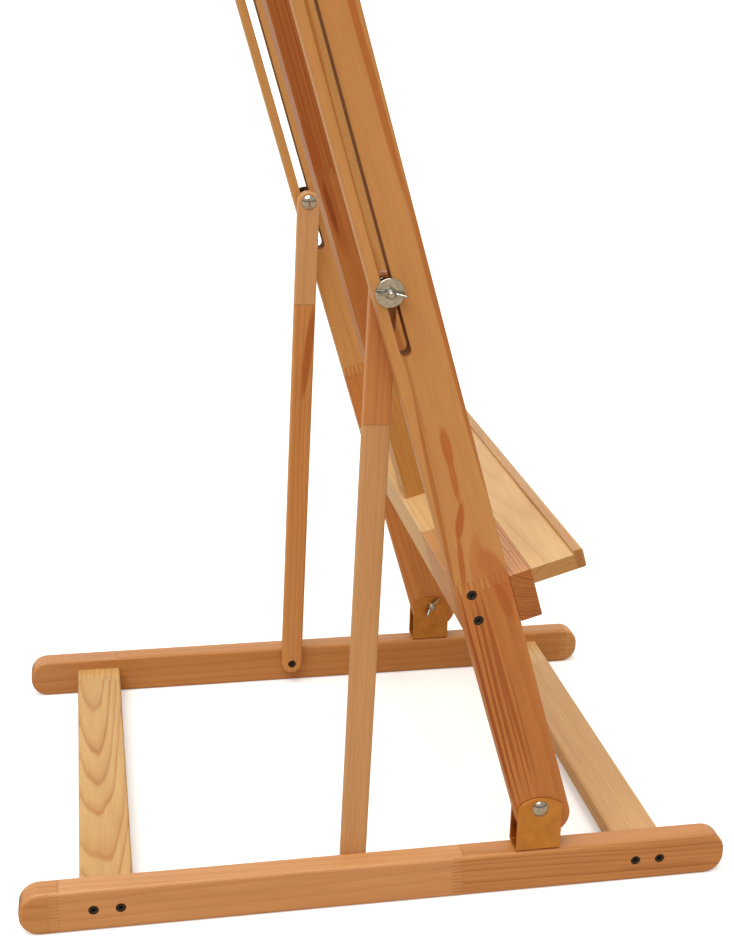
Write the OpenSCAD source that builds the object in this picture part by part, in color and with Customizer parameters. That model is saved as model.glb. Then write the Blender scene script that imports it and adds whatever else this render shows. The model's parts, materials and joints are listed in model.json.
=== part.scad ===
// Wooden studio easel: a floor base with two runners, a leaning frame that pivots in two
// sheet-metal brackets, two braces whose upper bolts run in slots and set the lean, a tray
// and a canvas holder that slides on a central mast.
// The origin is on the floor at the middle of the base. -Y is the painter's side.

/* [Base] */
// Length of each floor runner
runner_len = 700; // [600:1:900]
// Width of the base over the outer faces of the runners
base_w = 507; // [420:1:640]
// Height of a runner
runner_h = 45; // [40:1:60]
// Thickness of a runner
runner_t = 25; // [22:1:34]
// Corner radius at the ends of a runner
runner_end_r = 20; // [6:0.5:20]
// Width of a cross member, front to back
cross_w = 51; // [40:1:70]
// Thickness of a cross member
cross_t = 19; // [15:0.5:25]
// Distance of each cross member's middle from the middle of the base
cross_at = 268; // [215:1:300]
// Height of the middle of a cross member above the floor
cross_z = 23; // [15:0.5:26]

/* [Frame] */
// Lean of the frame from upright, in degrees
lean = 16.5; // [12:0.5:24]
// Distance of the frame's pivot in front of the middle of the base
pivot_front = 152; // [120:1:180]
// Height of the frame's pivot above the runners
pivot_rise = 47; // [44:1:56]
// Width of an upright, front to back
upright_w = 53; // [46:1:66]
// Thickness of an upright
upright_t = 20; // [17:0.5:26]
// Length of an upright above its pivot
upright_top = 1400; // [1200:1:1700]
// Length of an upright below its pivot
upright_foot = 34; // [28:0.5:36]
// Corner radius at the foot of an upright
foot_r = 22; // [12:0.5:22]
// Corner radius at the head of an upright
head_r = 8; // [2:0.5:20]
// Distance of the pivot from the upright's rear face
pivot_back = 24.5; // [20:0.5:32]

/* [Slots and braces] */
// Width of the slot in an upright
slot_w = 10; // [9.5:0.1:12]
// Distance of the slot's middle from the upright's rear face
slot_back = 14.5; // [11:0.5:18]
// Lower end of the slot, measured up the frame from its pivot
slot_from = 483; // [440:1:520]
// Upper end of the slot, measured up the frame from its pivot
slot_to = 862; // [700:1:1040]
// Place of the slot bolt, measured up the frame from its pivot
slot_bolt_at = 541; // [530:1:600]
// Distance of the resting slot bolt behind the slot's middle line
slot_bolt_back = 0; // [-1:0.1:1.6]
// Width of a brace
brace_w = 25; // [20:0.5:32]
// Thickness of a brace
brace_t = 12; // [9:0.5:18]
// Distance of a brace's lower screw behind the middle of the base
brace_y = 28.5; // [10:0.5:60]
// Height of a brace's lower screw above the floor
brace_z = 28; // [24:0.5:30]

/* [Crossbars and mast] */
// Height of a crossbar
crossbar_h = 54; // [40:1:64]
// Thickness of a crossbar
crossbar_t = 29; // [22:0.5:34]
// Lower edge of the lower crossbar, measured up the frame from its pivot
lower_bar_at = 204; // [170:1:240]
// Distance of the upper crossbar's top edge below the top of the uprights
upper_bar_down = 22; // [10:1:60]
// Width of the central mast
mast_w = 42; // [34:1:60]
// Distance of the mast's rear face in front of the uprights' rear faces
mast_inset = 4.7; // [0:0.1:6]

/* [Tray] */
// Distance of the tray's ends inside the uprights' outer faces
tray_inset = 1; // [-60:0.5:4]
// Depth of the tray's square bar
bar_d = 21; // [16:0.5:28]
// Height of the tray's square bar
bar_h = 49; // [42:0.5:60]
// Height of the tray's resting surface, measured up the frame from its pivot
tray_at = 251; // [220:1:300]
// Depth of the shelf, front to back
shelf_d = 51.5; // [40:0.5:90]
// Thickness of the shelf at its resting surface
shelf_t = 15.5; // [12:0.5:20]
// Height of the lip above the resting surface
lip_h = 3.6; // [2:0.1:8]
// Width of the lip
lip_w = 9.5; // [6:0.5:14]

/* [Canvas holder] */
// Middle of the canvas holder, measured up the frame from its pivot
holder_at = 1010; // [900:1:1100]
// Width of the canvas holder
holder_w = 130; // [110:1:180]
// Height of the holder's front block and rear clamp
holder_h = 44; // [36:1:60]
// Distance that the block stands in front of the uprights
holder_out = 22; // [10:0.5:40]
// Distance that the holder's lip hangs down in front of the canvas
holder_lip_h = 10; // [6:0.5:16]
// Thickness of the holder's lip
holder_lip_t = 9; // [6:0.5:14]
// Thickness of the rear clamp
clamp_t = 16; // [12:0.5:24]

/* [Hardware] */
// Diameter of the carriage bolts
bolt_d = 6; // [5:0.5:6]
// Diameter of a carriage bolt's domed head
head_d = 16.5; // [13:0.5:18]
// Height of a carriage bolt's domed head
head_h = 3.8; // [2.5:0.1:5]
// Diameter of the large washers
washer_d = 25.5; // [18:0.5:28]
// Thickness of the large washers
washer_t = 1.6; // [1:0.1:2.5]
// Diameter of the small washers
small_washer_d = 18; // [14:0.5:20]
// Span of a wing nut over its wings
wing_span = 30; // [24:1:36]
// Diameter of a wing nut's hub
hub_d = 10.5; // [9:0.5:13]
// Height of a wing nut's hub
hub_h = 6; // [5:0.5:9]
// Thickness of the bracket sheet
sheet_t = 1.8; // [1.2:0.1:2.5]
// Width of a bracket's ear, front to back
ear_w = 45; // [40:1:56]
// Height of a bracket's ear above the pivot, at its middle
ear_over = 12; // [9:0.5:18]
// Radius of the curve on top of an ear
ear_r = 34; // [30:1:60]
// Head diameter of the countersunk joint screws
screw_head_d = 9.5; // [8:0.5:11]
// Shank diameter of the joint screws
screw_d = 5; // [4:0.5:6]
// Width of the hexagon socket in a screw head
socket_w = 4; // [3:0.5:5]
// Length of the joint screws
screw_len = 50; // [45:1:60]
// Length of the tray screws, through the bar and into the uprights
tray_screw_len = 55; // [45:1:60]
// Length of the small screws that hold the brackets
bracket_screw_len = 25; // [16:1:30]
// Clearance round a shaft that turns
fit_gap = 0.05; // [0.03:0.01:0.1]
// Clearance between faces that slide past each other
side_gap = 0.3; // [0.3:0.05:0.5]

/* [Hidden] */
$fn = 48;

left = -1;
right = 1;
eps = 0.01;

pine = "#cf9a5b";
pine_dark = "#b8743c";
black_oxide = "#35302c";
zinc = "silver";
yellow_zinc = "#b98a3c";

// places along X, for the right-hand side
runner_out = base_w / 2;
runner_in = runner_out - runner_t;
upright_mid = runner_out - runner_t / 2;
upright_out = upright_mid + upright_t / 2;
upright_in = upright_mid - upright_t / 2;
ear_in_face = upright_t / 2 + side_gap;
ear_out_face = ear_in_face + sheet_t;
brace_out = min(runner_in, upright_in) - side_gap;
brace_in = brace_out - brace_t;

// places in the side view
pivot_y = -pivot_front;
pivot_z = runner_h + pivot_rise;
front_face = -(upright_w - pivot_back);
slot_y = pivot_back - slot_back;
bolt_local_y = slot_y + slot_bolt_back;
slot_bolt_y = pivot_y + slot_bolt_at * sin(lean) + bolt_local_y * cos(lean);
slot_bolt_z = pivot_z + slot_bolt_at * cos(lean) - bolt_local_y * sin(lean);
brace_len = norm([slot_bolt_y - brace_y, slot_bolt_z - brace_z]);
brace_lean = atan2(slot_bolt_y - brace_y, slot_bolt_z - brace_z);

// places on the frame
crossbar_len = 2 * upright_in;
upper_bar_at = upright_top - upper_bar_down - crossbar_h;
crossbar_front = pivot_back - crossbar_t;
mast_back_face = pivot_back - mast_inset;
tray_len = 2 * (upright_out - tray_inset);
bar_front = front_face - bar_d;
holder_front = front_face - holder_out;
holder_bolt_x = mast_w / 2 + bolt_d;
clamp_back_face = mast_back_face + side_gap + clamp_t;

// screws
screw_cone_h = (screw_head_d - screw_d) / 2;
socket_depth = screw_cone_h + 0.6;
cross_screw_step = cross_w / 4;
bar_screw_step = crossbar_h / 4;
shelf_screw_grip = 25;
lip_screw_grip = 16;
tray_screw_low = 10;
tray_screw_step = 13;
runner_wall = 8;
thread_out = 2;
nut_gap = side_gap;
below = -1;
above = 1;
slot_nut_turn = 4;
pivot_nut_turn = -57;
holder_nut_turn = 90;

// a rectangle about the origin with four round corners
module round_rect(length, width, radius) {
    square([length - 2 * radius, width], center = true);
    square([length, width - 2 * radius], center = true);
    for (x = [-1, 1], y = [-1, 1])
        translate([x * (length / 2 - radius), y * (width / 2 - radius)])
            circle(r = radius);
}

// turns a flat outline drawn in (Y, Z) into a board from x_from to x_to
module side_board(x_from, x_to) {
    translate([x_from, 0, 0])
        rotate([90, 0, 90])
            linear_extrude(x_to - x_from) children();
}

// the frame's own axes: Z runs up the uprights from the pivot, +Y is its rear
module on_frame() {
    translate([0, pivot_y, pivot_z]) rotate([-lean, 0, 0]) children();
}

// the brace's own axes: Z runs up the brace from its lower screw
module on_brace() {
    translate([0, brace_y, brace_z]) rotate([-brace_lean, 0, 0]) children();
}

// puts a shape drawn for the right-hand side on either side
module on_side(side) {
    if (side == left) mirror([1, 0, 0]) children();
    else children();
}

// a countersunk screw along -Z, with its flat head at the origin
module screw(length) {
    difference() {
        screw_shape(length, 0);
        translate([0, 0, -socket_depth])
            cylinder(d = socket_w / cos(30), h = socket_depth + 1, $fn = 6);
    }
}

// the space that a screw takes, with a clearance round it
module screw_shape(length, gap) {
    translate([0, 0, -length]) cylinder(d = screw_d + 2 * gap, h = length);
    translate([0, 0, -screw_cone_h])
        cylinder(d1 = screw_d + 2 * gap, d2 = screw_head_d + 2 * gap, h = screw_cone_h);
}

// a carriage bolt along +X from its domed head, which lies in x < 0
module carriage_bolt(length) {
    dome_r = (head_d * head_d / 4 + head_h * head_h) / (2 * head_h);
    rotate([0, 90, 0]) cylinder(d = bolt_d, h = length);
    intersection() {
        translate([dome_r - head_h, 0, 0]) sphere(r = dome_r);
        rotate([0, -90, 0]) cylinder(d = head_d, h = head_h);
    }
}

// a wing nut along +X: the hub's seat is at x = 0, the wings turned by an angle
module wing_nut(turned) {
    wing_t = 2.2;
    wing_r = wing_span * 0.19;
    wing_reach = wing_span / 2 - wing_r;
    rotate([turned, 0, 0]) difference() {
        union() {
            rotate([0, 90, 0]) cylinder(d1 = hub_d, d2 = hub_d * 0.8, h = hub_h);
            for (side = [-1, 1])
                translate([hub_h * 0.35, side * wing_reach, -wing_t / 2]) {
                    translate([wing_r * 0.7, 0, 0]) cylinder(r = wing_r, h = wing_t);
                    translate([0, side < 0 ? 0 : -wing_reach + hub_d * 0.3, 0])
                        cube([hub_h * 0.6, wing_reach - hub_d * 0.3, wing_t]);
                }
        }
        translate([-wing_span, 0, 0]) rotate([0, 90, 0])
            cylinder(d = bolt_d + 2 * fit_gap, h = 2 * wing_span);
    }
}

// a round hole or rod along X
module along_x(diameter, x_from, x_to) {
    translate([x_from, 0, 0]) rotate([0, 90, 0]) cylinder(d = diameter, h = x_to - x_from);
}

// the screws of a cross member, on the right-hand side: real ones, or the space for them
module cross_screws(real) {
    for (end = [-1, 1], step = [-1, 1])
        translate([runner_out, end * cross_at + step * cross_screw_step, cross_z])
            rotate([0, 90, 0]) screw_at(screw_len, real);
}

// a real screw, or the space that it takes with a clearance round it
module screw_at(length, real, gap = 0) {
    if (real) screw(length);
    else screw_shape(length, gap);
}

// the screw that a brace turns on, on the right-hand side
module brace_screw(real, gap = 0) {
    translate([brace_in, brace_y, brace_z]) rotate([0, -90, 0])
        screw_at(runner_out - runner_wall - brace_in, real, gap);
}

// the two screws of a bracket, on the right-hand side
module bracket_screw_pair(real) {
    for (step = [-1, 1])
        translate([upright_mid, pivot_y + step * ear_w / 4, runner_h + sheet_t])
            screw_at(bracket_screw_len, real);
}

module runner(side) {
    color(pine) on_side(side) difference() {
        side_board(runner_in, runner_out)
            translate([0, runner_h / 2]) round_rect(runner_len, runner_h, runner_end_r);
        cross_screws(false);
        brace_screw(false);
        bracket_screw_pair(false);
    }
}

module cross_member(end) {
    color(pine) difference() {
        translate([-runner_in, end * cross_at - cross_w / 2, cross_z - cross_t / 2])
            cube([2 * runner_in, cross_w, cross_t]);
        for (side = [left, right]) on_side(side) cross_screws(false);
    }
}

// a bracket: one strip of sheet bent into a U, with a hole through both ears
module bracket(side) {
    ear_top = pivot_z + ear_over;
    color(yellow_zinc) on_side(side) difference() {
        intersection() {
            translate([upright_mid, pivot_y + ear_w / 2, 0]) rotate([90, 0, 0])
                linear_extrude(ear_w) difference() {
                    translate([-ear_out_face, runner_h])
                        square([2 * ear_out_face, ear_top - runner_h]);
                    translate([-ear_in_face, runner_h + sheet_t])
                        square([2 * ear_in_face, ear_top - runner_h]);
                }
            side_board(upright_mid - ear_out_face - 1, upright_mid + ear_out_face + 1)
                intersection() {
                    translate([pivot_y - ear_w / 2, runner_h]) square([ear_w, ear_top - runner_h]);
                    translate([pivot_y, ear_top - ear_r]) circle(r = ear_r, $fn = 120);
                    translate([pivot_y - ear_w, runner_h]) square([2 * ear_w, 2 * ear_r]);
                }
        }
        translate([0, pivot_y, pivot_z])
            along_x(bolt_d, upright_mid - ear_out_face - 1, upright_mid + ear_out_face + 1);
        bracket_screw_pair(false);
    }
}

// the pivot bolt's head is on the outer ear and its wing nut on the inner ear
module pivot_bolt(side) {
    inside = upright_mid - ear_out_face - nut_gap - hub_h - thread_out;
    on_side(side) translate([upright_mid + ear_out_face, pivot_y, pivot_z])
        mirror([1, 0, 0]) carriage_bolt(upright_mid + ear_out_face - inside);
}

module pivot_wing_nut(side) {
    color(zinc) on_side(side)
        translate([upright_mid - ear_out_face - nut_gap, pivot_y, pivot_z])
            mirror([1, 0, 0]) wing_nut(pivot_nut_turn);
}

// the screws of both crossbars, on the right-hand side
module crossbar_screw_set(real) {
    for (bar_at = [lower_bar_at, upper_bar_at], step = [-1, 1])
        translate([upright_out, pivot_back - crossbar_t / 2,
                   bar_at + crossbar_h / 2 + step * bar_screw_step])
            rotate([0, 90, 0]) screw_at(screw_len, real);
}

// the tray's long screws, two into each upright, on the right-hand side
module tray_screw_pair(real) {
    for (step = [0, 1])
        translate([upright_mid, bar_front, tray_at - bar_h + tray_screw_low + step * tray_screw_step])
            rotate([90, 0, 0])
            screw_at(tray_screw_len, real);
}

module upright(side) {
    color(pine) on_side(side) on_frame() difference() {
        side_board(upright_in, upright_out) difference() {
            union() {
                translate([(pivot_back + front_face) / 2, 0]) {
                    translate([-upright_w / 2, foot_r - upright_foot])
                        square([upright_w, upright_top + upright_foot - foot_r - head_r]);
                    for (end = [-1, 1]) {
                        translate([end * (upright_w / 2 - foot_r), foot_r - upright_foot])
                            circle(r = foot_r);
                        translate([end * (upright_w / 2 - head_r), upright_top - head_r])
                            circle(r = head_r);
                    }
                    translate([foot_r - upright_w / 2, -upright_foot])
                        square([upright_w - 2 * foot_r, foot_r + 1]);
                    translate([head_r - upright_w / 2, upright_top - head_r - 1])
                        square([upright_w - 2 * head_r, head_r + 1]);
                }
            }
            translate([slot_y, (slot_from + slot_to) / 2])
                round_rect(slot_w, slot_to - slot_from, slot_w / 2 - eps);
        }
        along_x(bolt_d + 2 * fit_gap, upright_in - 1, upright_out + 1);
        crossbar_screw_set(false);
        tray_screw_pair(false);
    }
}

module crossbar_body(bar_at) {
    translate([-crossbar_len / 2, crossbar_front, bar_at])
        cube([crossbar_len, crossbar_t, crossbar_h]);
}

// screws up through the lower crossbar and down through the upper one, into the mast
module mast_screw_set(real) {
    middle = (crossbar_front + mast_back_face) / 2;
    for (step = [-1, 1]) {
        translate([step * mast_w / 4, middle, lower_bar_at])
            rotate([180, 0, 0]) screw_at(crossbar_h + bracket_screw_len, real);
        translate([step * mast_w / 4, middle, upper_bar_at + crossbar_h])
            screw_at(crossbar_h + bracket_screw_len, real);
    }
}

module crossbar(end) {
    color(pine) on_frame() difference() {
        crossbar_body(end == below ? lower_bar_at : upper_bar_at);
        for (side = [left, right]) on_side(side) crossbar_screw_set(false);
        mast_screw_set(false);
    }
}

// the mast stands between the crossbars and laps over the front of both
module mast_body() {
    difference() {
        translate([-mast_w / 2, front_face, lower_bar_at])
            cube([mast_w, mast_back_face - front_face, upright_top - lower_bar_at]);
        for (lap_at = [lower_bar_at - 1, upper_bar_at])
            translate([-mast_w, crossbar_front, lap_at])
                cube([2 * mast_w, crossbar_t, lap_at < upper_bar_at ? crossbar_h + 1 : upright_top]);
    }
}

module tray_bar_body() {
    translate([-tray_len / 2, bar_front, tray_at - bar_h]) cube([tray_len, bar_d, bar_h]);
}

// screws from behind the bar into the shelf's rear edge
module shelf_screw_set(real) {
    for (x = [-tray_len * 0.36, -tray_len * 0.12, tray_len * 0.12, tray_len * 0.36])
        translate([x, front_face, tray_at - shelf_t / 2]) rotate([-90, 0, 0])
            screw_at(bar_d + shelf_screw_grip, real);
}

module shelf_body() {
    translate([0, bar_front - shelf_d, tray_at - shelf_t]) {
        translate([-tray_len / 2, 0, 0]) cube([tray_len, shelf_d, shelf_t]);
        translate([-tray_len / 2, 0, 0]) cube([tray_len, lip_w, shelf_t + lip_h]);
    }
}

// a brace: a flat bar with round ends, a bore for its lower screw and one for the bolt
module brace(side) {
    color(pine_dark) on_side(side) difference() {
        on_brace() side_board(brace_in, brace_out)
            translate([0, brace_len / 2]) round_rect(brace_w, brace_len + brace_w, brace_w / 2 - eps);
        on_brace() translate([0, 0, brace_len]) along_x(bolt_d, brace_in - 1, brace_out + 1);
        brace_screw(false, fit_gap);
        translate([brace_in - 1, brace_y, brace_z]) rotate([0, 90, 0])
            cylinder(d = screw_head_d + 2 * side_gap, h = screw_cone_h + 1 + side_gap);
    }
}

// the slot bolt's head is on the brace and its wing nut outside the upright
module slot_bolt(side) {
    outside = upright_out + side_gap + washer_t + nut_gap + hub_h + thread_out;
    color(zinc) on_side(side) on_brace() translate([brace_in, 0, brace_len])
        carriage_bolt(outside - brace_in);
}

module washer(x_from, thick, diameter) {
    difference() {
        along_x(diameter, x_from, x_from + thick);
        along_x(bolt_d, x_from - 1, x_from + thick + 1);
    }
}

module slot_washer(side) {
    color(zinc) on_side(side) on_brace() translate([0, 0, brace_len])
        washer(upright_out + side_gap, washer_t, washer_d);
}

module spacer_washer(side) {
    color(zinc) on_side(side) on_brace() translate([0, 0, brace_len])
        washer(brace_out, upright_in - side_gap - brace_out, small_washer_d);
}

module slot_wing_nut(side) {
    color(zinc) on_side(side) on_brace()
        translate([upright_out + side_gap + washer_t + nut_gap, 0, brace_len]) wing_nut(slot_nut_turn);
}

// the holder's bolts run back through the block and the clamp, one each side of the mast
module holder_bolt_holes(diameter) {
    for (side = [-1, 1])
        translate([side * holder_bolt_x, clamp_back_face + 1, holder_at]) rotate([90, 0, 0])
            cylinder(d = diameter, h = clamp_back_face - holder_front + 2);
}

module holder_block_body() {
    translate([-holder_w / 2, holder_front, holder_at - holder_h / 2])
        cube([holder_w, holder_out - side_gap, holder_h]);
}

module holder_lip_body() {
    translate([-holder_w / 2, holder_front - holder_lip_t, holder_at - holder_h / 2 - holder_lip_h])
        cube([holder_w, holder_lip_t, holder_h + holder_lip_h]);
}

module holder_lip_screw_set(real) {
    for (x = [-holder_w * 0.4, holder_w * 0.4])
        translate([x, holder_front - holder_lip_t, holder_at]) rotate([90, 0, 0])
            screw_at(holder_lip_t + lip_screw_grip, real);
}

module holder_head_space() {
    for (side = [-1, 1])
        translate([side * holder_bolt_x, holder_front + 1, holder_at]) rotate([90, 0, 0])
            cylinder(d = head_d + 1, h = holder_lip_t + 2);
}

module holder_bolt(side) {
    length = clamp_back_face - holder_front + washer_t + nut_gap + hub_h + thread_out;
    translate([side * holder_bolt_x, holder_front, holder_at]) rotate([0, 0, 90])
        carriage_bolt(length);
}

module holder_wing_nut(side) {
    color(zinc) on_frame()
        translate([side * holder_bolt_x, clamp_back_face + washer_t + nut_gap, holder_at])
            rotate([0, 0, 90]) wing_nut(holder_nut_turn);
}

module left_runner() { runner(left); }
module right_runner() { runner(right); }
module front_cross_member() { cross_member(-1); }
module rear_cross_member() { cross_member(1); }
module cross_member_screws() {
    color(black_oxide) for (side = [left, right]) on_side(side) cross_screws(true);
}
module left_bracket() { bracket(left); }
module right_bracket() { bracket(right); }
module bracket_screws() {
    color(black_oxide) for (side = [left, right]) on_side(side) bracket_screw_pair(true);
}
module pivot_bolts() { color(zinc) for (side = [left, right]) pivot_bolt(side); }
module brace_screws() {
    color(black_oxide) for (side = [left, right]) on_side(side) brace_screw(true);
}
module left_pivot_wing_nut() { pivot_wing_nut(left); }
module right_pivot_wing_nut() { pivot_wing_nut(right); }
module left_upright() { upright(left); }
module right_upright() { upright(right); }
module lower_crossbar() { crossbar(below); }
module upper_crossbar() { crossbar(above); }
module crossbar_screws() {
    color(black_oxide) on_frame() for (side = [left, right]) on_side(side) crossbar_screw_set(true);
}
module mast() {
    color(pine_dark) on_frame() difference() {
        mast_body();
        mast_screw_set(false);
    }
}
module mast_screws() { color(black_oxide) on_frame() mast_screw_set(true); }
module tray_bar() {
    color(pine_dark) on_frame() difference() {
        tray_bar_body();
        shelf_screw_set(false);
        for (side = [left, right]) on_side(side) tray_screw_pair(false);
    }
}
module tray_shelf() {
    color(pine) on_frame() difference() {
        shelf_body();
        shelf_screw_set(false);
    }
}
module tray_screws() {
    color(black_oxide) on_frame() for (side = [left, right]) on_side(side) tray_screw_pair(true);
}
module shelf_screws() { color(black_oxide) on_frame() shelf_screw_set(true); }
module left_brace() { brace(left); }
module right_brace() { brace(right); }
module left_slot_bolt() { slot_bolt(left); }
module right_slot_bolt() { slot_bolt(right); }
module left_slot_washer() { slot_washer(left); }
module right_slot_washer() { slot_washer(right); }
module left_spacer_washer() { spacer_washer(left); }
module right_spacer_washer() { spacer_washer(right); }
module left_slot_wing_nut() { slot_wing_nut(left); }
module right_slot_wing_nut() { slot_wing_nut(right); }
module holder_block() {
    color(pine) on_frame() difference() {
        holder_block_body();
        holder_bolt_holes(bolt_d);
        holder_lip_screw_set(false);
    }
}
module holder_lip() {
    color(pine) on_frame() difference() {
        holder_lip_body();
        holder_lip_screw_set(false);
        holder_head_space();
    }
}
module holder_lip_screws() { color(black_oxide) on_frame() holder_lip_screw_set(true); }
module holder_clamp() {
    color(pine_dark) on_frame() difference() {
        translate([-holder_w / 2, mast_back_face + side_gap, holder_at - holder_h / 2])
            cube([holder_w, clamp_t, holder_h]);
        holder_bolt_holes(bolt_d);
    }
}
module holder_bolts() { color(zinc) on_frame() for (side = [-1, 1]) holder_bolt(side); }
module holder_washers() {
    color(zinc) on_frame() for (side = [-1, 1])
        translate([side * holder_bolt_x, clamp_back_face, holder_at]) rotate([0, 0, 90])
            washer(0, washer_t, small_washer_d);
}
module left_holder_wing_nut() { holder_wing_nut(left); }
module right_holder_wing_nut() { holder_wing_nut(right); }

left_runner();
right_runner();
front_cross_member();
rear_cross_member();
cross_member_screws();
left_bracket();
right_bracket();
bracket_screws();
pivot_bolts();
brace_screws();
left_pivot_wing_nut();
right_pivot_wing_nut();
left_upright();
right_upright();
lower_crossbar();
upper_crossbar();
crossbar_screws();
mast();
mast_screws();
tray_bar();
tray_shelf();
tray_screws();
shelf_screws();
left_brace();
right_brace();
left_slot_bolt();
right_slot_bolt();
left_slot_washer();
right_slot_washer();
left_spacer_washer();
right_spacer_washer();
left_slot_wing_nut();
right_slot_wing_nut();
holder_block();
holder_lip();
holder_lip_screws();
holder_clamp();
holder_bolts();
holder_washers();
left_holder_wing_nut();
right_holder_wing_nut();
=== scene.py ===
import json
import math

import bpy
import numpy as np
from mathutils import Matrix, Vector


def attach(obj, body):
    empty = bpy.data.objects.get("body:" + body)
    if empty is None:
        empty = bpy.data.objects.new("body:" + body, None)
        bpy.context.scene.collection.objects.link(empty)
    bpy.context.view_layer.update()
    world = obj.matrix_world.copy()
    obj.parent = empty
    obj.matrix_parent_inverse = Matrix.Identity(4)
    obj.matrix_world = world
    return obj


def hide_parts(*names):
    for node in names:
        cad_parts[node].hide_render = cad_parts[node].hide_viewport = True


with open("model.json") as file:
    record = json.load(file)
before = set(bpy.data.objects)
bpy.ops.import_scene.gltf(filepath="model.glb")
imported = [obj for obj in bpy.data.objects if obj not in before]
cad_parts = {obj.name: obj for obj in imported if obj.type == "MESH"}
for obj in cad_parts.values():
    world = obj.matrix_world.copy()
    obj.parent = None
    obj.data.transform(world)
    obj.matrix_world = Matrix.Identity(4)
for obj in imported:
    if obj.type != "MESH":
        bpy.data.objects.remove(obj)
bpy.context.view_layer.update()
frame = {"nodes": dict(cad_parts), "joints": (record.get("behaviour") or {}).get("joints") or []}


# ---------------------------------------------------------------- the studio
# A seamless white floor under one broad overhead softbox, so shadows are short and soft and the
# wood shows its own colour. The floor is white to the camera, but its bounced light is warm and
# dim, as from a wooden room. The camera is beside the easel, a little to the rear, and looks down.

def link(kind, name, data):
    """Puts new data of that kind into the scene as an object."""
    made = bpy.data.objects.new(name, data)
    bpy.context.scene.collection.objects.link(made)
    return made


def linear(hex_colour):
    """An sRGB hex colour as linear red, green, blue and alpha."""
    levels = [int(hex_colour[k:k + 2], 16) / 255 for k in (1, 3, 5)]
    return [c / 12.92 if c <= 0.04045 else ((c + 0.055) / 1.055) ** 2.4 for c in levels] + [1.0]


def surface(name):
    """A new material, its node tree and its shader."""
    made = bpy.data.materials.new(name)
    made.use_nodes = True
    return made, made.node_tree, made.node_tree.nodes["Principled BSDF"]


def plug(tree, made, sockets):
    """Gives each named socket of a node a link or a value."""
    for key, value in sockets.items():
        if isinstance(value, bpy.types.NodeSocket):
            tree.links.new(value, made.inputs[key])
        else:
            made.inputs[key].default_value = value


def node(tree, kind, sockets=None, **settings):
    """Adds one node with its settings, and fills its sockets."""
    made = tree.nodes.new(kind)
    for key, value in settings.items():
        setattr(made, key, value)
    plug(tree, made, sockets or {})
    return made


def calc(tree, operation, *values):
    """The result of one math node."""
    return node(tree, "ShaderNodeMath", dict(enumerate(values)), operation=operation).outputs[0]


def vector_calc(tree, operation, *values):
    """The result of one vector math node."""
    return node(tree, "ShaderNodeVectorMath", dict(enumerate(values)), operation=operation).outputs[0]


def ranged(tree, value, low, high, new_low=0.0, new_high=1.0, **settings):
    """A value carried from one range to another and held inside it."""
    return node(tree, "ShaderNodeMapRange", {0: value, 1: low, 2: high, 3: new_low, 4: new_high}, **settings).outputs[0]


def blend(tree, share, under, over, **settings):
    """A share of one colour over another."""
    return node(tree, "ShaderNodeMix", {0: share, 6: under, 7: over}, data_type="RGBA", **settings).outputs[2]


camera_place = Vector((-1.4680, 0.2617, 0.8844))
camera_azimuth = math.radians(79.11)
camera_dip = math.radians(19.39)
camera_roll = math.radians(1.25)
camera_lens = 57.07

ahead = Vector((math.sin(camera_azimuth) * math.cos(camera_dip),
                -math.cos(camera_azimuth) * math.cos(camera_dip), -math.sin(camera_dip)))
turn = Matrix.Rotation(-camera_roll, 3, ahead)
right = turn @ ahead.cross(Vector((0, 0, 1))).normalized()
up = right.cross(ahead)
camera = link("CAMERA", "studio_camera", bpy.data.cameras.new("studio_camera"))
camera.matrix_world = Matrix.Translation(camera_place) @ Matrix((right, up, -ahead)).transposed().to_4x4()
camera.data.lens = camera_lens
camera.data.sensor_width = 36.0
camera.data.clip_end = 400.0
bpy.context.scene.camera = camera

floor_half = 150.0
floor_mesh = bpy.data.meshes.new("studio_floor")
floor_mesh.from_pydata([(x * floor_half, y * floor_half, 0) for x, y in ((-1, -1), (1, -1), (1, 1), (-1, 1))],
                       [], [(0, 1, 2, 3)])
floor = link("MESH", "studio_floor", floor_mesh)
paint, paint_tree, floor_shader = surface("matt_white_floor_paint")
floor_ray = node(paint_tree, "ShaderNodeLightPath").outputs["Is Camera Ray"]
plug(paint_tree, floor_shader, {
    "Base Color": blend(paint_tree, floor_ray, (0.62, 0.50, 0.38, 1), linear("#faf9f8")),
    "Emission Color": (1, 1, 1, 1), "Emission Strength": calc(paint_tree, "MULTIPLY", floor_ray, 0.30),
    "Roughness": 0.9, "Specular IOR Level": 0.0})
floor_mesh.materials.append(paint)

softbox = bpy.data.lights.new("overhead_softbox", "SUN")
softbox.energy = 2.2
softbox.angle = math.radians(50)
softbox.color = (0.95, 1.0, 0.99)
key = link("LIGHT", "overhead_softbox", softbox)
key.rotation_euler = (math.radians(-14), math.radians(-20), 0)

world = bpy.data.worlds.new("studio")
bpy.context.scene.world = world
world.use_nodes = True
sky = world.node_tree
sky.nodes.clear()
ray = node(sky, "ShaderNodeLightPath")
seen = node(sky, "ShaderNodeBackground", {"Color": (1, 1, 1, 1), "Strength": 1.0})
facing = node(sky, "ShaderNodeSeparateXYZ", {0: node(sky, "ShaderNodeTexCoord").outputs["Generated"]})
walls = node(sky, "ShaderNodeValToRGB", {0: facing.outputs[2]})
walls.color_ramp.elements[0].position = 0.0
walls.color_ramp.elements[0].color = (0.40, 0.31, 0.21, 1)
walls.color_ramp.elements[1].position = 0.60
walls.color_ramp.elements[1].color = (0.56, 0.51, 0.43, 1)
walls.color_ramp.elements.new(0.14).color = (0.13, 0.11, 0.09, 1)
walls.color_ramp.elements.new(0.30).color = (0.56, 0.50, 0.41, 1)
backdrop = ranged(sky, facing.outputs[0], 0.35, 0.75)
around = blend(sky, backdrop, walls.outputs[0], (0.85, 0.84, 0.82, 1))
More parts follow.
